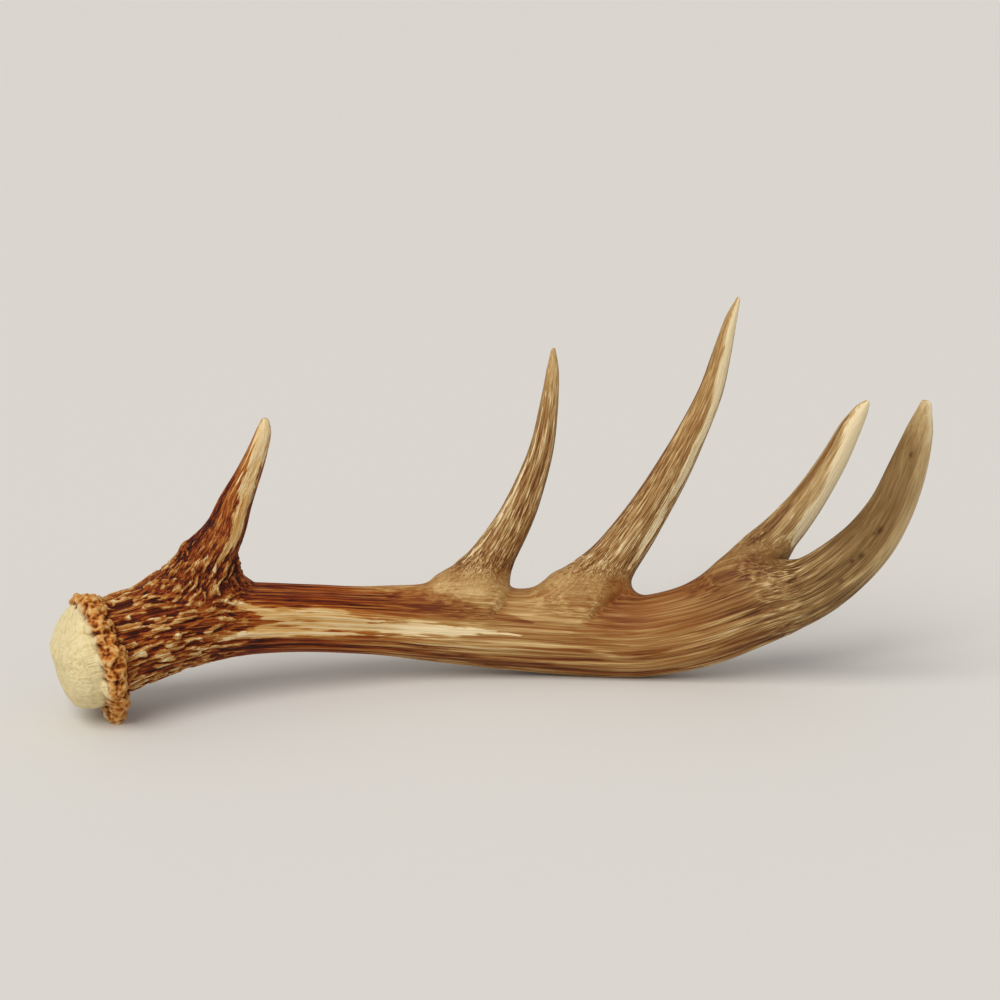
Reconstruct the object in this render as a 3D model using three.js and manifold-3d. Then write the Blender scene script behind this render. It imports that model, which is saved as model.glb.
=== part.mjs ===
// A shed antler of a whitetail deer, lying on a table: a curved main beam with its knobbly burr and
// domed pedicle seal at one end, a brow tine and three upright tines. Millimetres, +Z up, table at z = 0.
// X runs along the beam from the burr to the tip, Y points away from the side that is seen first.
import * as THREE from "three";
import { mergeVertices } from "three/addons/utils/BufferGeometryUtils.js";
import Module from "manifold-3d";

const wasm = await Module();
wasm.setup();

// The antler is one growth, sawn in the model at its forks: the width of each saw gap.
const SAW_GAP = 0.3;

// Each branch is a row of stations from root to tip: x, y, z of the centre, half its height as seen
// from the side, and its depth as a share of that height.
const BEAM = [
  [-184.5, -36.5, 34.5, 24.0, 0.98],
  [-175.0, -32.0, 36.3, 22.8, 0.98],
  [-154.5, -22.5, 39.6, 20.8, 0.96],
  [-127.5, -10.5, 40.5, 18.2, 0.95],
  [-92.5, 2.5, 37.0, 16.6, 0.95],
  [-59.0, 14.0, 31.5, 16.4, 0.95],
  [-25.0, 21.5, 26.3, 17.8, 0.92],
  [10.0, 25.5, 22.8, 20.0, 0.86],
  [45.0, 25.5, 20.6, 20.8, 0.82],
  [75.0, 22.5, 20.6, 20.6, 0.78],
  [104.0, 16.5, 28.5, 21.2, 0.72],
  [132.0, 10.0, 41.0, 19.8, 0.72],
  [156.5, 2.0, 53.0, 15.4, 0.78],
  [178.5, -5.5, 74.5, 13.2, 0.82],
  [189.5, -10.5, 94.0, 11.0, 0.85],
  [196.0, -14.5, 114.5, 9.4, 0.88],
  [201.0, -17.5, 136.5, 6.4, 0.92],
  [203.0, -19.5, 151.0, 2.2, 1.0],
];
const BROW = [
  [-160.0, -24.0, 38.0, 21.0, 0.88],
  [-144.0, -18.5, 56.5, 17.8, 0.86],
  [-133.0, -13.5, 73.8, 12.5, 0.86],
  [-126.0, -9.5, 85.5, 9.6, 0.86],
  [-121.5, -6.5, 97.5, 7.9, 0.88],
  [-116.0, -4.0, 109.5, 6.3, 0.9],
  [-110.5, -2.0, 122.0, 4.9, 0.92],
  [-107.0, -0.5, 132.0, 3.6, 0.95],
  [-106.0, 0.0, 138.0, 1.7, 1.0],
];
const SECOND = [
  [-33.0, 20.5, 25.0, 15.0, 0.9],
  [-14.5, 25.5, 36.5, 15.2, 0.88],
  [-1.5, 31.5, 54.0, 11.6, 0.86],
  [12.0, 39.0, 75.5, 8.8, 0.86],
  [20.0, 44.5, 93.5, 7.1, 0.88],
  [26.0, 49.0, 111.5, 5.9, 0.9],
  [29.5, 52.5, 132.0, 4.7, 0.92],
  [31.2, 54.5, 149.0, 3.3, 0.95],
  [31.4, 55.5, 160.0, 1.0, 1.0],
];
const THIRD = [
  [16.0, 25.5, 23.5, 16.0, 0.86],
  [39.5, 29.0, 34.5, 15.8, 0.84],
  [59.5, 34.5, 54.0, 12.8, 0.82],
  [76.5, 41.5, 76.0, 10.3, 0.82],
  [90.0, 47.5, 97.0, 8.9, 0.84],
  [101.0, 52.5, 117.5, 7.5, 0.86],
  [110.0, 56.5, 137.5, 6.1, 0.88],
  [116.0, 59.5, 159.0, 4.5, 0.92],
  [120.0, 61.5, 174.5, 3.0, 0.95],
  [123.5, 62.5, 184.5, 1.0, 1.0],
];
const FOURTH = [
  [75.0, 21.5, 23.0, 17.5, 0.76],
  [103.0, 17.5, 35.0, 16.0, 0.74],
  [125.5, 18.0, 55.0, 11.8, 0.76],
  [136.0, 20.5, 67.0, 10.6, 0.8],
  [147.5, 24.0, 79.0, 9.6, 0.84],
  [159.0, 28.0, 93.5, 8.1, 0.86],
  [169.5, 31.5, 110.0, 6.8, 0.88],
  [177.0, 34.0, 124.5, 5.4, 0.92],
  [182.0, 35.5, 133.5, 4.0, 0.96],
  [184.5, 36.0, 138.0, 1.2, 1.0],
];

// The rounded webs in the crotches behind the brow tine and behind the third tine, as stations again.
const BROW_WEB = [
  [-125.5, -11.0, 82.0, 4.0, 1.4],
  [-125.0, -10.0, 74.0, 5.0, 1.8],
  [-123.5, -8.0, 61.5, 5.4, 2.3],
  [-116.5, -4.0, 53.0, 5.0, 2.4],
  [-106.5, -1.0, 49.0, 4.4, 2.2],
];
const THIRD_WEB = [
  [66.0, 35.0, 58.0, 3.6, 1.6],
  [65.0, 31.0, 47.0, 4.5, 2.0],
  [68.5, 28.0, 39.5, 4.6, 2.4],
  [76.0, 26.0, 36.0, 4.2, 2.6],
  [84.5, 25.0, 35.0, 3.8, 2.4],
];

// Where each tine is sawn off, in mm along its own centreline from its root.
const BROW_CUT = 58;
const SECOND_CUT = 46;
const THIRD_CUT = 60;
const FOURTH_CUT = 84;

// Long shallow ridges run the length of every branch, and coarse pearling wraps the base of the beam.
const RIDGE_SHARE = 0.032;
const PEARL_HEIGHT = 1.3;
const PEARL_FADE = 38;

// Pedicle seal: the domed end that broke from the skull. Radius, reach beyond the burr's plane, and how
// far its face droops for each mm of reach.
const SEAL_RADIUS = 25;
const SEAL_REACH = 20;
const SEAL_SAG = 0.12;

// The burr: a lumpy rim round the base, and the knobs that stand on it. Rim radius and half thickness, then
// for each knob its bearing round the ring in degrees from the top towards the back, the distance from the
// axis to its centre, and its half length along the beam, half height and half width.
const RIM_RADIUS = 26.5;
const RIM_HALF = 4.2;
const KNOBS = [
  [2, 23.5, 5.0, 4.6, 6.0],
  [21, 23.0, 5.5, 4.8, 5.0],
  [37, 24.0, 4.5, 5.2, 6.0],
  [56, 23.5, 5.5, 5.0, 5.5],
  [73, 24.0, 5.0, 5.4, 6.5],
  [92, 24.0, 5.5, 5.0, 5.0],
  [108, 24.5, 5.0, 5.6, 6.0],
  [125, 25.0, 4.5, 6.0, 5.5],
  [140, 25.5, 5.5, 6.0, 5.5],
  [155, 30.0, 5.0, 8.0, 6.5],
  [174, 25.5, 4.5, 6.0, 6.0],
  [189, 29.0, 4.8, 8.0, 6.5],
  [208, 26.0, 5.5, 6.2, 6.0],
  [224, 25.5, 5.0, 5.6, 5.5],
  [241, 25.5, 6.0, 6.0, 6.5],
  [259, 25.0, 5.5, 5.8, 5.5],
  [276, 25.5, 6.5, 5.6, 6.5],
  [294, 25.0, 6.0, 6.0, 5.5],
  [311, 24.5, 6.5, 5.6, 6.0],
  [328, 24.0, 6.0, 5.4, 5.5],
  [345, 23.5, 6.5, 5.2, 6.0],
];

const BEAM_SIDES = 28;
const TINE_SIDES = 16;

// A manifold solid from a three.js geometry.
function solid(geometry) {
  const bare = geometry.clone();
  bare.deleteAttribute("normal");
  bare.deleteAttribute("uv");
  const joined = mergeVertices(bare, 1e-4);
  return new wasm.Manifold(
    new wasm.Mesh({
      numProp: 3,
      vertProperties: new Float32Array(joined.attributes.position.array),
      triVerts: new Uint32Array(joined.index.array),
    }),
  );
}

// Centreline and section sizes of one branch.
function branch(stations) {
  const path = new THREE.CatmullRomCurve3(stations.map(([x, y, z]) => new THREE.Vector3(x, y, z)));
  path.arcLengthDivisions = 800;
  const size = new THREE.CatmullRomCurve3(
    stations.map(([, , , half, share]) => new THREE.Vector3(half, half * share, 0)),
  );
  return { path, size, length: path.getLength() };
}

// The branch's own axes at a distance from its root: along it, up across it, and into the depth.
function axesAt({ path, length }, along) {
  const u = Math.min(Math.max(along / length, 0), 1);
  const centre = path.getPointAt(u);
  const tangent = path.getTangentAt(u).normalize();
  const depth = new THREE.Vector3(0, 1, 0);
  depth.addScaledVector(tangent, -tangent.y).normalize();
  const rise = new THREE.Vector3().crossVectors(tangent, depth);
  return { centre, tangent, rise, depth, t: path.getUtoTmapping(u) };
}

// A rod turned on the lathe, then bent along the branch and given its sections and relief.
function grow(shape, rows, sides, relief) {
  const profile = [new THREE.Vector2(0, 0)];
  rows.forEach((along) => profile.push(new THREE.Vector2(1, along)));
  profile.push(new THREE.Vector2(0, shape.length));
  const rod = new THREE.LatheGeometry(profile, sides);
  const points = rod.attributes.position;
  for (let i = 0; i < points.count; i += 1) {
    const along = points.getY(i);
    const round = Math.hypot(points.getX(i), points.getZ(i));
    const bearing = Math.atan2(points.getZ(i), points.getX(i));
    const { centre, rise, depth, t } = axesAt(shape, along);
    const size = shape.size.getPoint(t);
    const swell = round > 0.5 ? relief(along, bearing, size.x) : 0;
    const spot = centre.clone();
    spot.addScaledVector(rise, Math.cos(bearing) * (size.x * round + swell));
    spot.addScaledVector(depth, Math.sin(bearing) * (size.y * round + swell));
    points.setXYZ(i, spot.x, spot.y, spot.z);
  }
  return solid(rod);
}

// Distances along a branch at which it has a ring of points, closer together towards the root.
function rings(length, count, crowding) {
  const rows = [];
  for (let row = 0; row < count; row += 1) {
    rows.push(length * Math.pow(row / (count - 1), crowding));
  }
  return rows;
}

function beamRelief(along, bearing, half) {
  const ridge = Math.cos(8 * bearing + 0.9 * Math.sin(along / 41)) + 0.6 * Math.cos(5 * bearing - along / 90);
  const pearl = Math.cos(9 * bearing + 1.6 * Math.sin(along / 6)) * Math.cos(along / 2.4 + 2 * bearing);
  return 0.6 * RIDGE_SHARE * half * ridge + PEARL_HEIGHT * Math.exp(-along / PEARL_FADE) * pearl;
}

function tineRelief(along, bearing, half) {
  const ridge = Math.cos(5 * bearing + 0.7 * Math.sin(along / 23)) + 0.5 * Math.cos(3 * bearing - along / 60);
  return 0.6 * RIDGE_SHARE * half * ridge;
}

const beamShape = branch(BEAM);
const browShape = branch(BROW);
const secondShape = branch(SECOND);
const thirdShape = branch(THIRD);
const fourthShape = branch(FOURTH);

// The pedicle seal, a lathe-turned dome with a slightly lumpy face, set against the burr's plane.
const base = axesAt(beamShape, 0);
const toBase = new THREE.Matrix4().makeBasis(base.rise, base.tangent, base.depth).setPosition(base.centre);
const seal = new THREE.LatheGeometry(
  [
    new THREE.Vector2(0, -SEAL_REACH),
    new THREE.Vector2(0.34 * SEAL_RADIUS, -0.98 * SEAL_REACH),
    new THREE.Vector2(0.62 * SEAL_RADIUS, -0.89 * SEAL_REACH),
    new THREE.Vector2(0.82 * SEAL_RADIUS, -0.74 * SEAL_REACH),
    new THREE.Vector2(0.94 * SEAL_RADIUS, -0.53 * SEAL_REACH),
    new THREE.Vector2(SEAL_RADIUS, -0.28 * SEAL_REACH),
    new THREE.Vector2(0.98 * SEAL_RADIUS, 2),
    new THREE.Vector2(0.6 * SEAL_RADIUS, 6),
    new THREE.Vector2(0, 7),
  ],
  32,
);
const sealPoints = seal.attributes.position;
for (let i = 0; i < sealPoints.count; i += 1) {
  const x = sealPoints.getX(i);
  const y = sealPoints.getY(i);
  const z = sealPoints.getZ(i);
  const lump = 0.6 * Math.sin(x / 4.1 + 0.8) * Math.cos(z / 4.7) + 0.4 * Math.sin((x + z) / 3.1);
  sealPoints.setXYZ(i, x + SEAL_SAG * Math.min(y, 0), y + (y < 0 ? lump : 0), z);
}
seal.applyMatrix4(toBase);

// The burr: the rim, uneven all round, and the knobs of different sizes on it.
const rim = new THREE.LatheGeometry(
  [
    new THREE.Vector2(0, -RIM_HALF),
    new THREE.Vector2(RIM_RADIUS - 2.5, -RIM_HALF),
    new THREE.Vector2(RIM_RADIUS - 0.4, -0.45 * RIM_HALF),
    new THREE.Vector2(RIM_RADIUS, 0.3 * RIM_HALF),
    new THREE.Vector2(RIM_RADIUS - 2.5, RIM_HALF),
    new THREE.Vector2(0, RIM_HALF),
  ],
  36,
);
const rimPoints = rim.attributes.position;
for (let i = 0; i < rimPoints.count; i += 1) {
  const bearing = Math.atan2(rimPoints.getZ(i), rimPoints.getX(i));
  const swell = 1 + 0.035 * Math.sin(7 * bearing + 1) + 0.025 * Math.sin(11 * bearing);
  rimPoints.setX(i, rimPoints.getX(i) * swell);
  rimPoints.setZ(i, rimPoints.getZ(i) * swell);
}
rim.applyMatrix4(toBase);
const knobs = KNOBS.map(([bearing, reach, long, high, wide], index) => {
  const knob = new THREE.SphereGeometry(1, 7, 5);
  knob.scale(high, long, wide);
  knob.rotateX(0.35 * Math.sin(2.1 * index));
  knob.translate(reach, 1.2 * Math.sin(1.7 * index), 0);
  knob.rotateY(-THREE.MathUtils.degToRad(bearing));
  knob.applyMatrix4(toBase);
  return solid(knob);
});

// All branches grown together.
const beam = grow(beamShape, rings(beamShape.length, 54, 1.22), BEAM_SIDES, beamRelief);
const tines = [
  { shape: browShape, cut: BROW_CUT, name: "brow_tine", web: branch(BROW_WEB) },
  { shape: secondShape, cut: SECOND_CUT, name: "second_tine" },
  { shape: thirdShape, cut: THIRD_CUT, name: "third_tine", web: branch(THIRD_WEB) },
  { shape: fourthShape, cut: FOURTH_CUT, name: "fourth_tine" },
];
tines.forEach((tine) => {
  tine.rod = grow(tine.shape, rings(tine.shape.length, 24, 1), TINE_SIDES, tineRelief);
  if (tine.web) {
    tine.rod = tine.rod.add(grow(tine.web, rings(tine.web.length, 8, 1), 10, () => 0));
  }
});

// The block that holds everything of a tine's rod up to a distance from its root.
function rootBlock(shape, upTo) {
  const { centre, tangent, rise, depth } = axesAt(shape, upTo);
  const deep = 90;
  const block = new THREE.BoxGeometry(120, deep, 120);
  block.translate(0, -deep / 2, 0);
  block.applyMatrix4(new THREE.Matrix4().makeBasis(rise, tangent, depth).setPosition(centre));
  return solid(block);
}

const stubs = tines.map(({ rod, shape, cut }) => rod.intersect(rootBlock(shape, cut - SAW_GAP)));
const stem = wasm.Manifold.union([beam, solid(seal), solid(rim), ...knobs, ...stubs]);

// The table, which the burr's two lowest knobs and the belly of the beam rest on.
const table = new THREE.BoxGeometry(600, 400, 40);
table.translate(0, 0, -20);
const tableSolid = solid(table);

const bone = new THREE.MeshStandardMaterial({ color: 0xa3794a, roughness: 0.6, metalness: 0 });

// A named mesh from a manifold solid.
function piece(name, body) {
  const mesh = body.getMesh();
  const geometry = new THREE.BufferGeometry();
  geometry.setAttribute("position", new THREE.BufferAttribute(mesh.vertProperties, mesh.numProp));
  geometry.setIndex(new THREE.BufferAttribute(mesh.triVerts, 1));
  geometry.computeVertexNormals();
  const made = new THREE.Mesh(geometry, bone);
  made.name = name;
  return made;
}

const antler = new THREE.Group();
antler.add(piece("main_beam", stem.subtract(tableSolid)));
tines.forEach(({ name, rod, shape, cut }) => {
  antler.add(piece(name, rod.subtract(rootBlock(shape, cut))));
});

export default antler;
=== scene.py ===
# A whitetail deer antler shed lying on a pale floor. One continuous piece of bone stands for the beam and
# its four tines. Its relief and its staining follow the straightened lines of each branch.
import math

import bpy
import numpy as np
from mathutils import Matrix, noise


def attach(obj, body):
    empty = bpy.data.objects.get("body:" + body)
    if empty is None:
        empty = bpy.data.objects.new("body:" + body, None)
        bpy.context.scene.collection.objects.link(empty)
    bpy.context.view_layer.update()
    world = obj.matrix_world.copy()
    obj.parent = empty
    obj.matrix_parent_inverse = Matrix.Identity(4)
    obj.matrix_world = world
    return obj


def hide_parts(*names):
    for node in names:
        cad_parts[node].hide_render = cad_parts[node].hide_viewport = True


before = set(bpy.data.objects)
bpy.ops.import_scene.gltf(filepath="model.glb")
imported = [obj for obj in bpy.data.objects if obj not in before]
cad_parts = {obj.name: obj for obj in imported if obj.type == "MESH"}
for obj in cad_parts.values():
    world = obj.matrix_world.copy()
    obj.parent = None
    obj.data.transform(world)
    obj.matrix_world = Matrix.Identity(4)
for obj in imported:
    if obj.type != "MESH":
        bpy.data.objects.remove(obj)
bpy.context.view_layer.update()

MM = 0.001
VOXEL = 0.62
TRIANGLES = 190000

# Each row of a branch: centre x, y, z, half height, and depth as a share of the height. All in mm.
BEAM = [
    [-184.5, -36.5, 34.5, 24.0, 0.98],
    [-175, -32, 36.3, 22.8, 0.98],
    [-154.5, -22.5, 39.6, 20.8, 0.96],
    [-127.5, -10.5, 40.5, 18.2, 0.95],
    [-92.5, 2.5, 37, 16.6, 0.95],
    [-59, 14, 31.5, 16.4, 0.95],
    [-25, 21.5, 26.3, 17.8, 0.92],
    [10, 25.5, 22.8, 20, 0.86],
    [45, 25.5, 20.6, 20.8, 0.82],
    [75, 22.5, 20.6, 20.6, 0.78],
    [104, 16.5, 28.5, 21.2, 0.72],
    [132, 10, 41, 19.8, 0.72],
    [156.5, 2, 53, 15.4, 0.78],
    [178.5, -5.5, 74.5, 13.2, 0.82],
    [189.5, -10.5, 94, 11, 0.85],
    [196, -14.5, 114.5, 9.4, 0.88],
    [201, -17.5, 136.5, 6.4, 0.92],
    [203, -19.5, 151, 2.2, 1.0],
]
BROW_TINE = [
    [-160, -24, 38, 21, 0.88],
    [-144, -18.5, 56.5, 17.8, 0.86],
    [-133, -13.5, 73.8, 12.5, 0.86],
    [-126, -9.5, 85.5, 9.6, 0.86],
    [-121.5, -6.5, 97.5, 7.9, 0.88],
    [-116, -4, 109.5, 6.3, 0.9],
    [-110.5, -2, 122, 4.9, 0.92],
    [-107, -0.5, 132, 3.6, 0.95],
    [-106, 0, 138, 1.7, 1.0],
]
SECOND_TINE = [
    [-33, 20.5, 25, 15, 0.7],
    [-14.5, 25, 36.5, 15.2, 0.7],
    [-1.5, 31.5, 54, 11.6, 0.8],
    [12, 39, 75.5, 8.8, 0.86],
    [20, 44.5, 93.5, 7.1, 0.88],
    [26, 49, 111.5, 5.9, 0.9],
    [29.5, 52.5, 132, 4.7, 0.92],
    [31.2, 54.5, 149, 3.3, 0.95],
    [31.4, 55.5, 160, 1.0, 1.0],
]
THIRD_TINE = [
    [16, 25.5, 23.5, 16, 0.66],
    [39.5, 28, 34.5, 15.8, 0.68],
    [59.5, 34.5, 54, 12.8, 0.77],
    [76.5, 41.5, 76, 10.3, 0.82],
    [90, 47.5, 97, 8.9, 0.84],
    [101, 52.5, 117.5, 7.5, 0.86],
    [110, 56.5, 137.5, 6.1, 0.88],
    [116, 59.5, 159, 4.5, 0.92],
    [120, 61.5, 174.5, 3.0, 0.95],
    [123.5, 62.5, 184.5, 1.0, 1.0],
]
FOURTH_TINE = [
    [75, 21.5, 23, 17.5, 0.68],
    [103, 17.5, 35, 16, 0.68],
    [125.5, 18, 55, 11.8, 0.76],
    [136, 20.5, 67, 10.6, 0.8],
    [147.5, 24, 79, 9.6, 0.84],
    [159, 28, 93.5, 8.1, 0.86],
    [169.5, 31.5, 110, 6.8, 0.88],
    [177, 34, 124.5, 5.4, 0.92],
    [182.4, 35.5, 133.5, 3.4, 0.96],
    [185.6, 36, 138, 1.0, 1.0],
]
BROW_WEB = [
    [-125.5, -11, 82, 4, 1.0],
    [-125, -10, 74, 5, 1.2],
    [-123.5, -8, 61.5, 5.4, 1.4],
    [-116.5, -4, 53, 5, 1.4],
    [-106.5, -1, 49, 4.4, 1.3],
]
THIRD_WEB = [
    [66, 35, 58, 3.6, 1.1],
    [65, 31, 47, 4.5, 1.3],
    [68.5, 28, 39.5, 4.6, 1.5],
    [76, 26, 36, 4.2, 1.6],
    [84.5, 25, 35, 3.8, 1.5],
]

# The burr's knobs: bearing from the top towards the back in degrees, reach from the beam's centre, then half
# length along the beam, half height and half width.
KNOBS = [
    [2, 23.5, 5, 4.6, 6],
    [21, 23, 5.5, 4.8, 5],
    [37, 24, 4.5, 5.2, 6],
    [56, 23.5, 5.5, 5, 5.5],
    [73, 24, 5, 5.4, 6.5],
    [92, 24, 5.5, 5, 5],
    [108, 24.5, 5, 5.6, 6],
    [125, 25, 4.5, 6, 5.5],
    [140, 25.5, 5.5, 6, 5.5],
    [155, 30, 5, 8, 6.5],
    [174, 25.5, 4.5, 6, 6],
    [189, 29, 4.8, 8, 6.5],
    [208, 26, 5.5, 6.2, 6],
    [224, 25.5, 5, 5.6, 5.5],
    [241, 25.5, 6, 6, 6.5],
    [259, 25, 5.5, 5.8, 5.5],
    [276, 25.5, 6.5, 5.6, 6.5],
    [294, 25, 6, 6, 5.5],
    [311, 24.5, 6.5, 5.6, 6],
    [328, 24, 6, 5.4, 5.5],
    [345, 23.5, 6.5, 5.2, 6],
]
SEAL_RADIUS = 25
SEAL_REACH = 20
SEAL_SAG = 0.12
SEAL_BEVEL = 18
RIM_RADIUS = 26.5
RIM_HALF = 4.2


def unit(vectors):
    return vectors / np.linalg.norm(vectors, axis=1, keepdims=True)


def ease(low, high, value):
    """0 up to low, 1 from high on, and a soft rise between them."""
    part = np.clip((value - low) / (high - low), 0, 1)
    return part * part * (3 - 2 * part)


def through(points, steps=10):
    """A smooth line through the points, with so many steps in each gap."""
    points = np.array(points, float)
    row = np.vstack([2 * points[0] - points[1], points, 2 * points[-1] - points[-2]])
    line = []
    for before, start, end, after in zip(row, row[1:], row[2:], row[3:]):
        gaps = [(before, start), (start, end), (end, after)]
        first, middle, last = (max(np.linalg.norm(b - a) ** 0.5, 0.01) for a, b in gaps)
        leave = (start - before) / first - (end - before) / (first + middle) + (end - start) / middle
        arrive = (end - start) / middle - (after - start) / (middle + last) + (after - end) / last
        leave = leave * middle
        arrive = arrive * middle
        for t in np.arange(steps) / steps:
            square = 3 * (end - start) - 2 * leave - arrive
            cube = 2 * (start - end) + leave + arrive
            line.append(start + leave * t + square * t**2 + cube * t**3)
    return np.vstack([line, points[-1]])


class Branch:
    """A branch walked from root to tip: its centre, own axes, half sizes and distance along at each step."""

    def __init__(self, rows):
        rows = np.array(rows, float)
        sizes = through(np.column_stack([rows[:, 3], rows[:, 3] * rows[:, 4]]))
        self.centre = through(rows[:, :3])
        self.half = np.maximum(sizes[:, 0], 0.4)
        self.deep = np.maximum(sizes[:, 1], 0.4)
        steps = np.linalg.norm(np.diff(self.centre, axis=0), axis=1)
        self.along = np.concatenate([[0], np.cumsum(steps)])
        self.heading = unit(np.gradient(self.centre, self.along, axis=0))
        back = np.array([0, 1.0, 0])
        self.depth = unit(back - self.heading * self.heading[:, 1:2])
        self.rise = np.cross(self.heading, self.depth)

    def place(self, points):
        """Each point's rise, depth and distance along, how far outside it lies, and the way out there."""
        lengths = (self.centre**2).sum(1)
        step = np.empty(len(points), int)
        for first in range(0, len(points), 20000):
            batch = points[first : first + 20000]
            step[first : first + 20000] = (lengths - 2 * batch @ self.centre.T).argmin(1)
        away = points - self.centre[step]
        rise = (away * self.rise[step]).sum(1)
        depth = (away * self.depth[step]).sum(1)
        ahead = (away * self.heading[step]).sum(1)
        half = self.half[step]
        deep = self.deep[step]
        swell = np.sqrt((rise / half) ** 2 + (depth / deep) ** 2)
        outside = (swell - 1) * np.sqrt(half * deep)
        beyond = np.where(step == len(self.centre) - 1, np.maximum(ahead, 0), 0)
        outside = np.hypot(np.maximum(outside, 0), beyond) + np.minimum(outside, 0)
        out = self.rise[step] * (rise / half**2)[:, None] + self.depth[step] * (depth / deep**2)[:, None]
        return np.column_stack([rise, depth, self.along[step] + ahead]), outside, unit(out + 1e-9)


beam = Branch(BEAM)
tines = [Branch(rows) for rows in (BROW_TINE, SECOND_TINE, THIRD_TINE, FOURTH_TINE)]
BROW, SECOND, THIRD, FOURTH = range(4)


def read_points(mesh):
    flat = np.empty(len(mesh.vertices) * 3)
    mesh.vertices.foreach_get("co", flat)
    return flat.reshape(-1, 3)


def write_points(mesh, points):
    mesh.vertices.foreach_set("co", points.astype(np.float32).ravel())
    mesh.update()


def read_normals(mesh):
    flat = np.empty(len(mesh.vertices) * 3)
    mesh.vertex_normals.foreach_get("vector", flat)
    return flat.reshape(-1, 3)


def clear_selection():
    bpy.ops.object.select_all(action="DESELECT")


def straight_rod(name, rings, sides):
    """A rod of radius 1, extruded from a disc ring by ring, one ring for each unit of height."""
    clear_selection()
    bpy.ops.mesh.primitive_circle_add(vertices=sides, radius=1, fill_type="NGON", location=(0, 0, 0))
    rod = bpy.context.object
    rod.name = name
    bpy.ops.object.mode_set(mode="EDIT")
    bpy.ops.mesh.select_all(action="SELECT")
    for _ in range(rings - 1):
        bpy.ops.mesh.extrude_region_move(TRANSFORM_OT_translate={"value": (0, 0, 1)})
    bpy.ops.object.mode_set(mode="OBJECT")
    return rod


def bend_rod(rod, centre, rise, depth, half, deep):
    """Each ring of a straight rod goes to its own place, turn and size."""
    points = read_points(rod.data)
    ring = np.rint(points[:, 2]).astype(int)
    up = rise[ring] * (half[ring] * points[:, 0])[:, None]
    back = depth[ring] * (deep[ring] * points[:, 1])[:, None]
    write_points(rod.data, (centre[ring] + up + back) * MM)


def branch_rod(name, branch, sides):
    rod = straight_rod(name, len(branch.centre), sides)
    bend_rod(rod, branch.centre, branch.rise, branch.depth, branch.half, branch.deep)
    return rod


def turned_rod(name, reach, radius, sag, sides):
    """A round piece on the beam's base: rings of given radius at given reach back from the burr."""
    reach = np.array(reach, float)[:, None]
    radius = np.array(radius, float)
    count = len(radius)
    centre = beam.centre[0] - beam.heading[0] * reach - beam.rise[0] * sag * reach
    rod = straight_rod(name, count, sides)
    rise = np.repeat(beam.rise[:1], count, axis=0)
    depth = np.repeat(beam.depth[:1], count, axis=0)
    bend_rod(rod, centre, rise, depth, radius, radius)
    return rod


def pedicle_seal():
    """The pale face that sat on the skull: a flattened dome with a long bevel on its upper side."""
    turn = np.radians([89, 84, 77, 69, 60, 50, 40, 30, 20, 10, 3])
    reach = SEAL_REACH * np.sin(turn) ** 0.65
    radius = SEAL_RADIUS * np.cos(turn) ** 0.46
    seal = turned_rod("pedicle_seal", [*reach, -6], [*radius, SEAL_RADIUS - 1.5], SEAL_SAG, 64)
    points = read_points(seal.data)
    bevel = unit((beam.rise[:1] * 0.58 - beam.heading[:1] * 0.81))[0]
    proud = np.maximum((points / MM - beam.centre[0]) @ bevel - SEAL_BEVEL, 0)
    write_points(seal.data, points - bevel * (0.85 * proud * MM)[:, None])
    return seal


def burr_rim():
    turn = np.radians([80, 50, 25, 0, -25, -50, -80])
    reach = RIM_HALF * np.sin(turn)
    radius = RIM_RADIUS - RIM_HALF * (1 - np.cos(turn))
    return turned_rod("burr_rim", reach, radius, 0, 64)


def burr_knob(number, bearing, reach, long, high, wide):
    """One knob of the burr, an uneven ball set on the rim."""
    clear_selection()
    bpy.ops.mesh.primitive_ico_sphere_add(subdivisions=3, radius=1, location=(0, 0, 0))
    knob = bpy.context.object
    knob.name = f"burr_knob_{number}"
    ball = read_points(knob.data)
    lumps = 1 + 0.22 * noise_at(ball * 1.3 + 7.3 * number)
    ball = ball * lumps[:, None] * (high, long, wide)
    lean = 0.35 * math.sin(2.1 * number)
    turn = math.radians(bearing)
    out = ball[:, 0] + reach
    ahead = ball[:, 1] * math.cos(lean) - ball[:, 2] * math.sin(lean) + 1.2 * math.sin(1.7 * number)
    side = ball[:, 1] * math.sin(lean) + ball[:, 2] * math.cos(lean)
    rise = out * math.cos(turn) - side * math.sin(turn)
    depth = out * math.sin(turn) + side * math.cos(turn)
    axes = np.vstack([beam.rise[0], beam.heading[0], beam.depth[0]])
    write_points(knob.data, (beam.centre[0] + np.column_stack([rise, ahead, depth]) @ axes) * MM)
    return knob


def noise_at(points):
    return np.array([noise.noise(point) for point in points.tolist()])


def streaks(spot, across, length, seed=0):
    """Noise drawn out along a branch: about so wide across and so long, in mm."""
    return noise_at(spot / (across, across, length) + (seed, 2 * seed, 3 * seed))


def apply_modifier(piece, kind, **settings):
    bpy.context.view_layer.objects.active = piece
    modifier = piece.modifiers.new(kind.lower(), kind)
    for name, value in settings.items():
        setattr(modifier, name, value)
    bpy.ops.object.modifier_apply(modifier=modifier.name)


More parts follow.
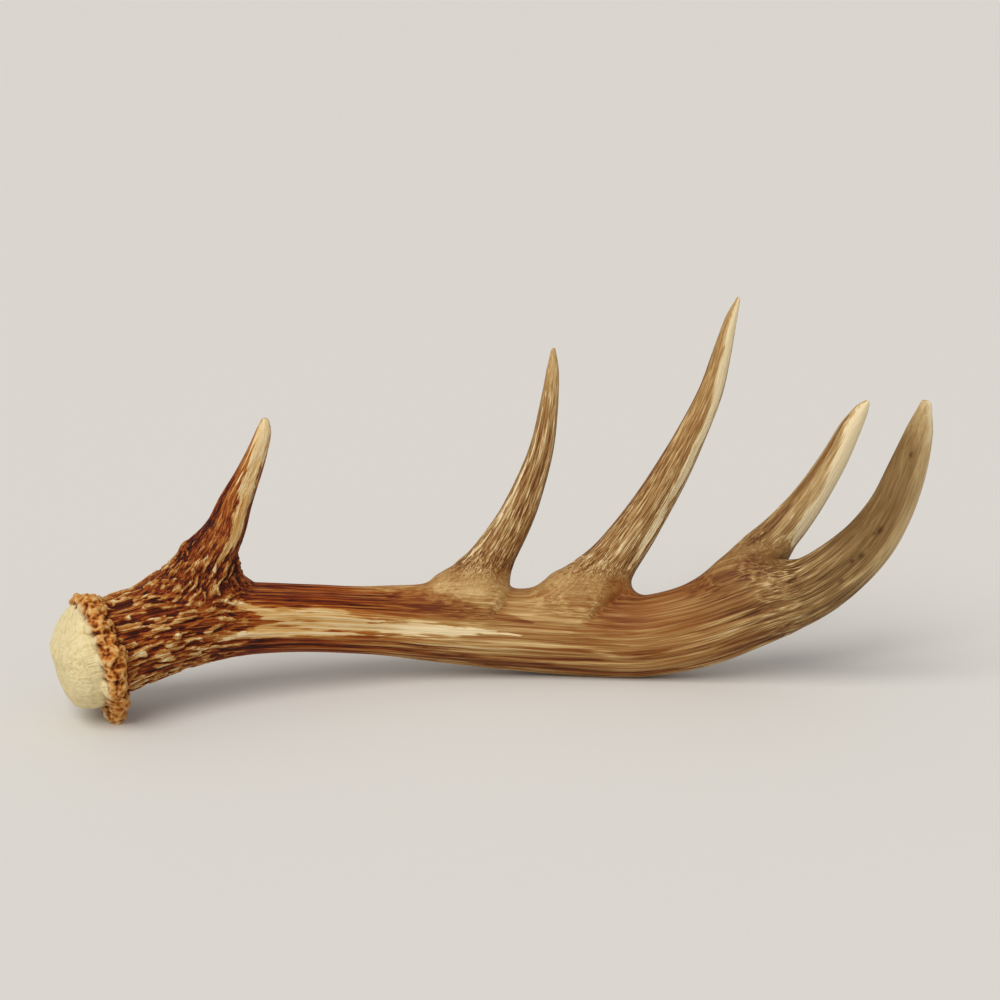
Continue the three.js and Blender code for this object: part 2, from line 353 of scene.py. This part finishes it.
def join_growth():
    """All branches, the burr and the seal, grown into one closed skin."""
    rods = [branch_rod("main_beam_rod", beam, 64), pedicle_seal(), burr_rim()]
    rods += [branch_rod(f"tine_rod_{number}", tine, 40) for number, tine in enumerate(tines)]
    rods += [branch_rod("brow_web", Branch(BROW_WEB), 24), branch_rod("third_web", Branch(THIRD_WEB), 24)]
    rods += [burr_knob(number, *knob) for number, knob in enumerate(KNOBS)]
    clear_selection()
    for rod in rods:
        rod.select_set(True)
    bpy.context.view_layer.objects.active = rods[0]
    bpy.ops.object.join()
    growth = bpy.context.object
    growth.name = "antler"
    growth.data.name = "antler"
    apply_modifier(growth, "REMESH", mode="VOXEL", voxel_size=VOXEL * MM, use_smooth_shade=True)
    return growth


class Survey:
    """Where each point of the skin lies: its place on the beam, on the nearest tine, and the tine's share."""

    def __init__(self, points):
        self.points = points
        self.on_beam, self.off_beam, self.beam_out = beam.place(points)
        self.off_tine = np.full(len(points), 1000.0)
        self.on_tine = np.zeros((len(points), 3))
        self.tine = np.zeros(len(points), int)
        self.tine_out = np.zeros((len(points), 3))
        for number, branch in enumerate(tines):
            spot, outside, tine_out = branch.place(points)
            near = outside < self.off_tine
            self.off_tine[near] = outside[near]
            self.on_tine[near] = spot[near]
            self.tine[near] = number
            self.tine_out[near] = tine_out[near]
        self.turned = 1 - (self.beam_out * self.tine_out).sum(1)
        self.apart = ease(0.03, 0.3, self.turned) * ease(-3, 7, self.on_beam[:, 0])
        self.beam_along = self.on_beam[:, 2]
        self.tine_along = self.on_tine[:, 2]
        on_brow = self.tine == BROW
        onset = np.where(on_brow, 0.8, 2.5)
        self.share = ease(onset, np.where(on_brow, 9, 14), self.off_beam) * ease(10, 22, self.beam_along)
        crotch = ease(15, 4, np.maximum(self.off_beam, self.off_tine)) * ease(-8, 2, self.on_beam[:, 0])
        self.root = np.where(on_brow, 0, np.maximum(crotch, 4 * self.share * (1 - self.share)))
        aside = 60.0 * self.tine
        self.drawn = self.on_tine + np.column_stack([aside, aside, 0 * aside])
        # Bearings in degrees: 0 at the beam's top or the tine's burr side, 90 at the front, 180 opposite.
        self.beam_bearing = np.degrees(np.arctan2(-self.on_beam[:, 1], self.on_beam[:, 0]))
        self.tine_bearing = np.degrees(np.arctan2(-self.on_tine[:, 1], self.on_tine[:, 0]))
        self.seal = ease(-3.5, -6.5, self.beam_along + 1.2 * noise_at(points / 3.0))
        self.burr = ease(8.5, 5.5, self.beam_along) * ease(-8, -5, self.beam_along) * (1 - self.seal)
        self.pearled = self.pearl_cover()

    def pearl_cover(self):
        """How thick the pearls stand: dense by the burr and the brow tine's root, thinner along the beam."""
        on_beam = ease(85, 45, self.beam_along)
        on_brow = np.where(self.tine == BROW, ease(66, 38, self.tine_along), 0)
        cover = on_beam * (1 - self.share) + on_brow * self.share
        return cover * (1 - self.seal) * (1 - 0.6 * self.burr)

    def blend(self, on_beam, on_tine):
        return on_beam * (1 - self.share) + on_tine * self.share

    def grain(self, across, length, seed):
        """Noise drawn out along the beam and along the tines."""
        on_beam = streaks(self.on_beam, across, length, seed)
        on_tine = streaks(self.drawn, across, length, seed)
        return self.blend(on_beam, on_tine)


def fill_forks(growth):
    """The creases where branches meet are filled to soft hollows."""
    points = read_points(growth.data) / MM
    where = Survey(points)
    width = np.where(where.tine == BROW, 13.0, 24.0 - 9.0 * ease(0.5, 1.1, where.turned))
    close = np.clip(1 - np.abs(where.off_beam - where.off_tine) / width, 0, 1)
    fill = np.clip(width / 4 * close**2 - np.minimum(where.off_beam, where.off_tine), 0, width / 4)
    fill = fill * ease(0, 20, where.beam_along) * where.apart * ease(0, 0.15, close)
    lean = np.where(where.off_tine > where.off_beam, close / 2, 1 - close / 2)[:, None]
    slope = where.beam_out * (1 - lean) + where.tine_out * lean
    step = fill / np.maximum((slope**2).sum(1), 0.4)
    write_points(growth.data, (points + slope * step[:, None]) * MM)
    group = growth.vertex_groups.new(name="forks")
    wide = np.clip(1 - np.abs(where.off_beam - where.off_tine) / 24, 0, 1) * ease(-8, 2, where.on_beam[:, 0])
    wide = np.where(where.tine == BROW, close * where.apart, wide)
    weights = np.round(wide * ease(12, 25, where.beam_along), 1)
    for weight in np.unique(weights[weights > 0]):
        group.add(np.nonzero(weights == weight)[0].tolist(), float(weight), "REPLACE")
    apply_modifier(growth, "SMOOTH", factor=0.5, iterations=130, vertex_group="forks")
    apply_modifier(growth, "SMOOTH", factor=0.5, iterations=3)
    growth.vertex_groups.clear()


# Larger single knobs: branch, distance along, bearing, half length, half width and height.
SINGLE_KNOBS = [
    ["beam", 30, 92, 3.4, 2.0, 1.2],
    ["beam", 34, 84, 1.8, 3.2, 1.2],
    ["beam", 17, 58, 2.6, 1.8, 1.0],
    ["beam", 24, 38, 3.2, 1.8, 1.1],
    ["beam", 38, 34, 3.6, 1.7, 1.0],
    ["beam", 50, 42, 4.0, 1.6, 0.9],
    ["beam", 28, -40, 3.2, 2.0, 1.1],
    ["beam", 40, -85, 3.4, 2.2, 1.2],
    ["beam", 22, 140, 2.8, 2.0, 1.0],
    ["beam", 34, -150, 3.2, 2.2, 1.1],
    ["brow", 44, 4, 3.2, 4.0, 1.3],
    ["brow", 34, 40, 4.0, 1.8, 1.0],
    ["brow", 40, 70, 4.5, 1.7, 0.9],
    ["brow", 38, -70, 4.2, 2.0, 1.1],
]


def single_knobs(where):
    """The few knobs of the base that stand higher than the pearls around them, in mm."""
    height = np.zeros(len(where.points))
    for branch, along, bearing, long, wide, high in SINGLE_KNOBS:
        on_brow = branch == "brow"
        spot = where.on_tine if on_brow else where.on_beam
        part = where.share * (where.tine == BROW) if on_brow else 1 - where.share
        turn = (where.tine_bearing if on_brow else where.beam_bearing) - bearing
        arc = np.radians((turn + 180) % 360 - 180) * np.hypot(spot[:, 0], spot[:, 1])
        reach = ((spot[:, 2] - along) / long) ** 2 + (arc / wide) ** 2
        height = np.maximum(height, high * np.exp(-(reach**1.5)) * part)
    return height


def pearl_tops(where):
    """1 on the raised pearls and 0 in the gaps between them."""
    sway = where.grain(7, 9, 5)
    shift = np.column_stack([sway * 2.6, sway * -2.2, sway * 0])
    on_beam = streaks(where.on_beam + shift, 1.9, 10, 3)
    on_tine = streaks(where.drawn + shift, 1.9, 10, 3)
    return ease(0.0, 0.26, where.blend(on_beam, on_tine))


def ridge_lines(where):
    """Long raised lines and grooves along the beam and the tines, from -1 to 1."""
    wide = where.grain(4.2, 420, 11)
    narrow = where.grain(2.1, 150, 17)
    return wide + 0.6 * narrow


def raise_relief(growth):
    """Pearls, ridges, burr lumps and seal pits, pushed out of the skin and into it."""
    points = read_points(growth.data) / MM
    where = Survey(points)
    plain = (1 - where.seal) * (1 - where.burr) * (1 - 0.6 * where.pearled)
    tips = where.blend(ease(380, 430, where.beam_along), ease(70, 140, where.tine_along))
    height = 0.9 * ridge_lines(where) * plain * (1 - 0.75 * tips) * (1 - 0.9 * where.root)
    height += (1.0 * pearl_tops(where) - 0.45) * where.pearled
    height += 0.8 * where.grain(11, 26, 23) * where.pearled + single_knobs(where)
    height += where.burr * (1.5 * noise_at(points / 3.4) + 0.9 * noise_at(points / 1.6 + 31))
    height += where.seal * (0.4 * noise_at(points / 6.0 + 11) + 0.16 * noise_at(points / 1.3 + 53))
    points = points + read_normals(growth.data) * height[:, None]
    points[:, 2] = np.maximum(points[:, 2], 0)
    write_points(growth.data, points * MM)


def thin_out(growth):
    faces = sum(len(face.vertices) - 2 for face in growth.data.polygons)
    if faces > TRIANGLES:
        apply_modifier(growth, "TRIANGULATE")
        apply_modifier(growth, "DECIMATE", ratio=TRIANGLES / faces)


def stand_out(mesh, rounds=14):
    """How far each point of the skin stands proud of its surroundings, or lies below them, in mm."""
    points = read_points(mesh) / MM
    ends = np.empty(len(mesh.edges) * 2, int)
    mesh.edges.foreach_get("vertices", ends)
    start = ends[0::2]
    end = ends[1::2]
    count = len(points)
    neighbours = np.bincount(start, minlength=count) + np.bincount(end, minlength=count)
    level = points.copy()
    for _ in range(rounds):
        total = np.empty_like(level)
        for axis in range(3):
            onward = np.bincount(start, level[end, axis], count)
            total[:, axis] = onward + np.bincount(end, level[start, axis], count)
        level = total / np.maximum(neighbours, 1)[:, None]
    return ((points - level) * read_normals(mesh)).sum(1)


def streak_mask(along, bearing, paths):
    """How far painted streaks cover each place. Path rows: distance along, bearing, half width in degrees."""
    cover = np.zeros(len(along))
    for path in paths:
        rows = np.array(path, float)
        middle = np.interp(along, rows[:, 0], rows[:, 1])
        width = np.interp(along, rows[:, 0], rows[:, 2], left=0, right=0)
        turn = np.abs((bearing - middle + 180) % 360 - 180)
        cover = np.maximum(cover, np.clip(1 - 0.5 * turn / np.maximum(width, 0.5), 0, 1) * (width > 0))
    return cover


# Worn pale streaks and dark stains on the beam and on each tine, as paths of such rows.
BEAM_PALE = [
    [
        [52, 38, 2],
        [66, 50, 7],
        [78, 64, 13],
        [90, 73, 18],
        [110, 75, 19],
        [135, 79, 17],
        [160, 79, 12],
        [185, 82, 6],
        [205, 84, 2],
        [215, 85, 0.6],
    ],
    [[54, 102, 2], [78, 94, 8], [100, 92, 6], [125, 92, 3]],
    [[60, -60, 2], [95, -66, 14], [140, -76, 18], [190, -82, 12], [230, -86, 2]],
]
BEAM_STAIN = [
    [[64, 20, 16], [85, 20, 36], [120, 22, 36], [150, 32, 26], [185, 48, 13], [220, 58, 3]],
    [[50, 138, 12], [75, 128, 22], [130, 126, 20], [190, 134, 15], [260, 150, 8], [300, 158, 2]],
    [[70, 108, 4], [100, 107, 6], [140, 106, 5], [175, 108, 2]],
    [[60, -20, 12], [90, -24, 32], [140, -28, 26], [200, -40, 5]],
    [[60, -140, 14], [120, -136, 16], [200, -140, 5]],
]
TINE_PALE = {
    BROW: [[[34, 112, 3], [52, 122, 10], [76, 128, 27], [92, 114, 52], [106, 104, 80], [200, 104, 150]]],
    SECOND: [[[40, 20, 3], [80, 30, 8], [120, 40, 5], [140, 50, 2]]],
    THIRD: [[[52, 132, 5], [85, 128, 13], [140, 124, 18], [180, 120, 42], [300, 120, 140]]],
    FOURTH: [[[66, 150, 10], [84, 132, 26], [120, 120, 36], [150, 112, 70], [300, 110, 140]]],
}
TINE_STAIN = {
    BROW: [
        [[36, 20, 18], [70, 20, 36], [84, 14, 24], [98, 10, 10], [108, 8, 2]],
        [[34, 176, 6], [60, 174, 14], [90, 172, 9], [106, 172, 2]],
    ],
    SECOND: [[[34, 172, 8], [50, 162, 22], [80, 160, 16], [120, 164, 6], [150, 168, 2]]],
    THIRD: [[[50, 6, 4], [90, 4, 9], [150, 4, 8], [190, 6, 2]]],
    FOURTH: [[[54, 34, 3], [68, 34, 12], [84, 30, 24], [120, 24, 18], [155, 20, 6]]],
}

# How pale the bone is at each distance along, 0 to 1.
BEAM_TONE = [
    [0, 0.4],
    [40, 0.39],
    [90, 0.38],
    [140, 0.5],
    [190, 0.57],
    [250, 0.51],
    [330, 0.44],
    [390, 0.39],
    [440, 0.39],
    [458, 0.44],
    [474, 0.62],
]
TINE_TONE = {
    BROW: [[20, 0.33], [60, 0.26], [90, 0.33], [110, 0.38], [130, 0.44]],
    SECOND: [[30, 0.46], [70, 0.5], [120, 0.52], [150, 0.58], [170, 0.64]],
    THIRD: [[30, 0.5], [80, 0.5], [140, 0.51], [180, 0.54], [210, 0.58]],
    FOURTH: [[50, 0.4], [72, 0.48], [95, 0.57], [120, 0.59], [170, 0.62]],
}

# How grey and dull each tine is beside the red-brown base.
TINE_DULL = np.array([0.0, 0.68, 0.68, 0.85])


def along_line(along, rows):
    rows = np.array(rows, float)
    return np.interp(along, rows[:, 0], rows[:, 1])


def flat_web(where):
    """The flat upper side of the beam between the upright tines."""
    along = where.beam_along
    return ease(215, 260, along) * ease(365, 330, along) * ease(75, 45, np.abs(where.beam_bearing - 5))


def beam_smoothness(where):
    """The streaks thin out along the beam, most on the flat web by the tines and on the tip."""
    along = where.beam_along
    plain = 0.25 * ease(150, 200, along) + 0.7 * ease(355, 410, along)
    return np.maximum(plain, 0.5 * flat_web(where))


def tine_smoothness(where):
    tip = 0.75 * ease(100, 160, where.tine_along)
    tip = np.where(where.tine == BROW, 0.75 * ease(88, 112, where.tine_along), tip)
    return np.where(where.tine == FOURTH, 0.35 + 0.45 * ease(70, 120, where.tine_along), tip)


# Dark specks on the beam's tip: distance along, bearing and half width.
SPECKS = [
    [452, 72, 0.8],
    [430, 62, 0.5],
    [412, 76, 1.3],
    [409, 70, 0.8],
    [396, 82, 1.0],
    [391, 76, 0.7],
    [380, 96, 0.9],
]


def tip_specks(where):
    cover = np.zeros(len(where.points))
    round_beam = np.hypot(where.on_beam[:, 0], where.on_beam[:, 1])
    for along, bearing, half in SPECKS:
        turn = np.radians(where.beam_bearing - bearing) * round_beam
        reach = ((where.beam_along - along) / (1.6 * half)) ** 2 + (turn / half) ** 2
        cover = np.maximum(cover, np.exp(-reach) * (1 - where.share))
    return cover


def calm_roots(where, normals):
    """Where the grain is kept low: round the tine roots, and where the skin faces along the beam."""
    along = where.beam_along
    heading = np.column_stack([np.interp(along, beam.along, beam.heading[:, axis]) for axis in range(3)])
    end_grain = ease(0.25, 0.6, np.abs((heading * normals).sum(1)))
    end_grain = end_grain * (1 - where.share) * (where.tine != BROW) * ease(60, 90, along)
    return np.maximum(0.65 * where.root, end_grain)


def beam_stains(where):
    """The beam's tone, pale streaks and dark stains."""
    along = where.beam_along
    bearing = where.beam_bearing + 9 * where.grain(9, 30, 29)
    worn_side = ease(82, 145, where.beam_bearing) * ease(370, 415, along)
    tone = along_line(along, BEAM_TONE) - 0.1 * flat_web(where) + 0.26 * worn_side
    return tone, streak_mask(along, bearing, BEAM_PALE), streak_mask(along, bearing, BEAM_STAIN)


def tine_stains(where):
    """The tines' tone, pale streaks and dark stains."""
    bearing = where.tine_bearing + 10 * where.grain(7, 25, 37)
    tone = np.zeros(len(where.points))
    pale = np.zeros(len(where.points))
    stain = np.zeros(len(where.points))
    for number in range(4):
        mine = where.tine == number
        tone[mine] = along_line(where.tine_along[mine], TINE_TONE[number])
        pale[mine] = streak_mask(where.tine_along[mine], bearing[mine], TINE_PALE[number])
        stain[mine] = streak_mask(where.tine_along[mine], bearing[mine], TINE_STAIN[number])
    return tone, pale, stain


def stain_zones(growth):
    """The growth's own staining, and the shading of its relief painted in as paler raised points and darker
    hollows, written on the skin for the bone finish to read.
    """
    where = Survey(read_points(growth.data) / MM)
    along = where.beam_along
    beam_tone, beam_pale, beam_stain = beam_stains(where)
    tine_tone, tine_pale, tine_stain = tine_stains(where)
    beam_dull = 0.55 * ease(100, 190, along) + 0.45 * ease(280, 390, along)
    smooth = where.blend(beam_smoothness(where), tine_smoothness(where))
    marks = {
        "tone": where.blend(beam_tone, tine_tone) + 0.12 * where.grain(10, 38, 41),
        "pale": where.blend(beam_pale, tine_pale),
        "stain": where.blend(beam_stain, tine_stain),
        "dull": where.blend(beam_dull, TINE_DULL[where.tine]),
        "smooth": np.maximum(smooth, calm_roots(where, read_normals(growth.data))),
        "pearled": where.pearled,
        "pearl_top": np.maximum(pearl_tops(where), ease(0.3, 0.8, single_knobs(where))),
        # How far each point stands out, read by the finish as painted shade in hollows and painted highlight
        # on raised points.
        "proud": np.clip(stand_out(growth.data) / 0.45, -1, 1),
        "speck": tip_specks(where),
        "seal": where.seal,
        "burr": where.burr,
        "tine_share": where.share,
    }
    for name, values in marks.items():
        layer = growth.data.attributes.new(name, "FLOAT", "POINT")
        layer.data.foreach_set("value", values.astype(np.float32))
    for name, spots in (("beam_spot", where.on_beam), ("tine_spot", where.drawn * [1.9, 1.9, 1.0])):
        layer = growth.data.attributes.new(name, "FLOAT_VECTOR", "POINT")
        layer.data.foreach_set("vector", spots.astype(np.float32).ravel())


class Nodes:
    """The nodes of one material or node group, wired as they are added."""

    def __init__(self, tree):
        self.tree = tree

    def add(self, kind, sockets, **settings):
        """A node with its settings, and each named input given a value or wired to another node's output."""
        node = self.tree.nodes.new(kind)
        for name, value in settings.items():
            setattr(node, name, value)
        for name, value in sockets.items():
            if isinstance(value, bpy.types.NodeSocket):
                self.tree.links.new(value, node.inputs[name])
            else:
                node.inputs[name].default_value = value
        return node

    def math(self, operation, first, second, clamp=False):
        sockets = {0: first, 1: second}
        return self.add("ShaderNodeMath", sockets, operation=operation, use_clamp=clamp).outputs[0]

    def plus(self, first, second, clamp=False):
        return self.math("ADD", first, second, clamp)

    def minus(self, first, second):
        return self.math("SUBTRACT", first, second)

    def times(self, first, second, clamp=False):
        return self.math("MULTIPLY", first, second, clamp)

    def centred(self, value, amount):
        return self.times(self.minus(value, 0.5), amount)

    def mix(self, part, first, second):
        return self.add("ShaderNodeMix", {0: part, 2: first, 3: second}, data_type="FLOAT").outputs[0]

    def mix_colour(self, part, first, second):
        return self.add("ShaderNodeMix", {0: part, 6: first, 7: second}, data_type="RGBA").outputs[2]

    def ramp(self, value, low, high):
        sockets = {"Value": value, "From Min": low, "From Max": high}
        return self.add("ShaderNodeMapRange", sockets, interpolation_type="SMOOTHSTEP").outputs[0]

    def colours(self, value, stops):
        node = self.add("ShaderNodeValToRGB", {"Fac": value})
        ramp = node.color_ramp
        while len(ramp.elements) < len(stops):
            ramp.elements.new(0.5)
        for element, (position, colour) in zip(ramp.elements, stops):
            element.position = position
            element.color = linear(*colour)
        return node.outputs["Color"]

    def mark(self, name):
        """A stain or relief mark written on the skin."""
        return self.add("ShaderNodeAttribute", {}, attribute_name=name).outputs["Fac"]

    def speckle(self, scale, detail, roughness):
        """Even fine noise in the antler's own space."""
        place = self.add("ShaderNodeTexCoord", {}).outputs["Object"]
        sockets = {"Vector": place, "Scale": scale, "Detail": detail, "Roughness": roughness}
        return self.add("ShaderNodeTexNoise", sockets).outputs["Fac"]


def linear(red, green, blue):
    """A colour as seen, 0 to 255, in the renderer's linear values."""
    parts = []
    for part in (red, green, blue):
        share = part / 255
        parts.append(share / 12.92 if share <= 0.04045 else ((share + 0.055) / 1.055) ** 2.4)
    return (*parts, 1)


GRAIN = ("Streak", "Hair", "Line", "Pearl", "Ragged")


def grain_group():
    """The bone's grain along a straightened branch: streaks, hair lines, thin lines and small pearls."""
    tree = bpy.data.node_groups.new("bone_grain", "ShaderNodeTree")
    tree.interface.new_socket("Spot", in_out="INPUT", socket_type="NodeSocketVector")
    for name in GRAIN:
        tree.interface.new_socket(name, in_out="OUTPUT", socket_type="NodeSocketFloat")
    nodes = Nodes(tree)
    spot = tree.nodes.new("NodeGroupInput").outputs["Spot"]
    result = tree.nodes.new("NodeGroupOutput")

    def drawn_out(scale, detail, distortion):
        place = nodes.add("ShaderNodeVectorMath", {0: spot, 1: scale}, operation="MULTIPLY").outputs[0]
        sockets = {"Vector": place, "Scale": 1.0, "Detail": detail}
        sockets.update({"Roughness": 0.55, "Distortion": distortion})
        return nodes.add("ShaderNodeTexNoise", sockets).outputs["Fac"]

    swell = drawn_out((0.27, 0.27, 0.0036), 1, 0.1)
    thin = nodes.math("ABSOLUTE", nodes.minus(swell, 0.5), 0.0)
    grain = {
        "Streak": nodes.ramp(drawn_out((0.6, 0.6, 0.0065), 2, 0.2), 0.41, 0.62),
        "Hair": nodes.ramp(drawn_out((1.35, 1.35, 0.02), 2, 0.25), 0.38, 0.63),
        "Line": nodes.ramp(thin, 0.05, 0.0),
        "Pearl": nodes.ramp(drawn_out((0.66, 0.66, 0.15), 2, 0.8), 0.5, 0.59),
        "Ragged": nodes.ramp(drawn_out((0.36, 0.36, 0.042), 3, 0.4), 0.3, 0.7),
    }
    for name in GRAIN:
        tree.links.new(grain[name], result.inputs[name])
    return tree


def bone_grain(nodes):
    """The grain along the beam, passing over to the grain along the tines."""
    group = grain_group()
    runs = []
    for name in ("beam_spot", "tine_spot"):
        spot = nodes.add("ShaderNodeAttribute", {}, attribute_name=name).outputs["Vector"]
        run = nodes.add("ShaderNodeGroup", {}, node_tree=group)
        nodes.tree.links.new(spot, run.inputs["Spot"])
        runs.append(run.outputs)
    share = nodes.mark("tine_share")
    return {name: nodes.mix(share, runs[0][name], runs[1][name]) for name in GRAIN}


# Tones of the bone from dark to pale, as seen: the stained base, the duller far end, the burr and the seal.
STAINED_TONES = [
    (0.0, (46, 8, 0)),
    (0.2, (120, 40, 0)),
    (0.38, (162, 84, 16)),
    (0.55, (174, 120, 54)),
    (0.75, (204, 162, 98)),
    (1.0, (235, 213, 168)),
]
DULL_TONES = [
    (0.0, (42, 24, 8)),
    (0.2, (80, 54, 26)),
    (0.38, (114, 84, 46)),
    (0.55, (148, 118, 74)),
    (0.75, (192, 164, 116)),
    (1.0, (232, 215, 176)),
]
BURR_TONES = [
    (0.0, (70, 22, 0)),
    (0.3, (152, 76, 14)),
    (0.6, (194, 122, 46)),
    (0.85, (216, 164, 94)),
    (1.0, (226, 192, 134)),
]
SEAL_TONES = [
    (0.0, (170, 138, 84)),
    (0.2, (208, 186, 132)),
    (0.55, (222, 204, 154)),
    (1.0, (232, 217, 170)),
]


def bone_tone(nodes, grain, grain_part):
    """Dark to pale: the zone's own tone, its lines, worn and stained streaks, specks and pearls, and painted
    shade in hollows with painted highlight on raised points.
    """
    proud = nodes.mark("proud")
    lines = nodes.plus(nodes.centred(grain["Streak"], 0.28), nodes.centred(grain["Hair"], 0.3))
    lines = nodes.plus(lines, nodes.times(nodes.times(grain["Line"], nodes.mark("dull")), 0.36))
    edge = nodes.plus(nodes.centred(grain["Ragged"], 0.5), nodes.centred(grain["Streak"], 0.2))
    edge = nodes.times(edge, grain_part)
    pale = nodes.ramp(nodes.plus(nodes.mark("pale"), edge), 0.42, 0.68)
    stain = nodes.ramp(nodes.plus(nodes.mark("stain"), edge), 0.42, 0.75)
    lines = nodes.times(lines, nodes.minus(1.0, nodes.times(pale, 0.55)))

    tone = nodes.plus(nodes.mark("tone"), nodes.times(lines, grain_part))
    tone = nodes.plus(tone, nodes.times(nodes.centred(grain["Ragged"], 0.14), grain_part))
    # Painted shade and highlight: hollows darker and raised points paler by how far they stand out.
    tone = nodes.plus(tone, nodes.times(proud, 0.1))
    tone = nodes.plus(tone, nodes.times(stain, -0.24))
    tone = nodes.plus(tone, nodes.times(pale, 0.44))
    tone = nodes.plus(tone, nodes.times(nodes.mark("speck"), -0.3))
    tops = nodes.times(nodes.mark("pearl_top"), nodes.plus(grain["Pearl"], 0.3), True)
    # Pearl tops paler as worn tips, with painted highlight added by how far each point stands out.
    pearls = nodes.plus(nodes.plus(nodes.times(tops, 0.36), nodes.times(proud, 0.12)), -0.07)
    return nodes.plus(tone, nodes.times(pearls, nodes.mark("pearled")), True)


def bone_colour(nodes, tone):
    stained = nodes.colours(tone, STAINED_TONES)
    worn = nodes.colours(tone, DULL_TONES)
    return nodes.mix_colour(nodes.mark("dull"), stained, worn)


def burr_colour(nodes):
    """Ochre knobs with dark gaps, partly the burr's own stain and partly painted shade in the gaps with
    painted highlight on the knobs, both read from how far each point stands out.
    """
    lumps = nodes.plus(nodes.times(nodes.mark("proud"), 0.4), 0.42)
    lumps = nodes.plus(lumps, nodes.centred(nodes.speckle(300, 4, 0.5), 1.0), True)
    return nodes.colours(lumps, BURR_TONES)


def seal_colour(nodes, chalk):
    return nodes.colours(nodes.ramp(chalk, 0.18, 0.62), SEAL_TONES)


def bone_bump(nodes, grain, grain_part, chalk):
    """The finest grain, too small to be in the skin itself."""
    height = nodes.plus(nodes.times(grain["Streak"], 0.6), nodes.times(grain["Hair"], 0.35))
    height = nodes.times(height, grain_part)
    height = nodes.plus(height, nodes.times(nodes.times(grain["Pearl"], nodes.mark("pearled")), 0.8))
    height = nodes.plus(height, nodes.times(chalk, nodes.times(nodes.mark("seal"), 0.25)))
    return nodes.add("ShaderNodeBump", {"Height": height, "Strength": 0.6, "Distance": 0.0007})


def bone_finish():
    """Stained bone: dark red-brown in the gaps, tan along the beam, worn to cream on ridges and tips, with
    painted shade deepening the gaps and painted highlight on the ridges.
    """
    material = bpy.data.materials.new("stained_bone")
    material.use_nodes = True
    nodes = Nodes(material.node_tree)
    surface = material.node_tree.nodes["Principled BSDF"]
    grain = bone_grain(nodes)
    grain_part = nodes.minus(1.0, nodes.times(nodes.mark("smooth"), 0.85))
    chalk = nodes.speckle(330, 5, 0.6)
    tone = bone_tone(nodes, grain, grain_part)
    colour = nodes.mix_colour(nodes.mark("burr"), bone_colour(nodes, tone), burr_colour(nodes))
    colour = nodes.mix_colour(nodes.mark("seal"), colour, seal_colour(nodes, chalk))
    rough = nodes.mix(nodes.mark("seal"), nodes.mix(tone, 0.7, 0.5), 0.9)
    bump = bone_bump(nodes, grain, grain_part, chalk)
    nodes.tree.links.new(colour, surface.inputs["Base Color"])
    nodes.tree.links.new(rough, surface.inputs["Roughness"])
    nodes.tree.links.new(bump.outputs["Normal"], surface.inputs["Normal"])
    surface.inputs["Specular IOR Level"].default_value = 0.2
    return material


def make_antler():
    growth = join_growth()
    fill_forks(growth)
    raise_relief(growth)
    thin_out(growth)
    stain_zones(growth)
    growth.data.materials.clear()
    growth.data.materials.append(bone_finish())
    clear_selection()
    growth.select_set(True)
    bpy.ops.object.shade_smooth()
    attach(growth, "root")
    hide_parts("main_beam", "brow_tine", "second_tine", "third_tine", "fourth_tine")
    return growth


def floor_finish():
    material = bpy.data.materials.new("pale_floor")
    material.use_nodes = True
    surface = material.node_tree.nodes["Principled BSDF"]
    surface.inputs["Base Color"].default_value = (0.72, 0.71, 0.69, 1)
    surface.inputs["Roughness"].default_value = 0.75
    surface.inputs["Specular IOR Level"].default_value = 0.2
    return material


def make_floor():
    clear_selection()
    bpy.ops.mesh.primitive_plane_add(size=24, location=(0, 0, 0))
    floor = bpy.context.object
    floor.name = "floor"
    floor.data.materials.append(floor_finish())


def light_studio():
    """One wide soft light high on the left in front, in an evenly pale room."""
    turn = (math.radians(40), 0, math.radians(-30))
    bpy.ops.object.light_add(type="SUN", location=(-0.6, -0.9, 1.4), rotation=turn)
    key = bpy.context.object
    key.name = "key_light"
    key.data.energy = 2.0
    key.data.angle = math.radians(40)
    key.data.color = (1, 0.96, 0.9)
    world = bpy.data.worlds.new("pale_room")
    bpy.context.scene.world = world
    world.use_nodes = True
    background = world.node_tree.nodes["Background"]
    background.inputs["Color"].default_value = (1, 0.98, 0.95, 1)
    background.inputs["Strength"].default_value = 0.5


# Where the photo was taken from, and how far the camera leans up from looking straight down.
PHOTO_PLACE = (0.005007, -1.02407, 0.391296)
PHOTO_TILT = math.radians(74)


def set_camera():
    bpy.ops.object.camera_add(location=PHOTO_PLACE, rotation=(PHOTO_TILT, 0, 0))
    camera = bpy.context.object
    camera.name = "photo_camera"
    camera.data.lens = 80
    camera.data.sensor_width = 36
    camera.data.dof.use_dof = False
    bpy.context.scene.camera = camera


make_antler()
make_floor()
light_studio()
set_camera()
bpy.context.scene.view_settings.view_transform = "Standard"
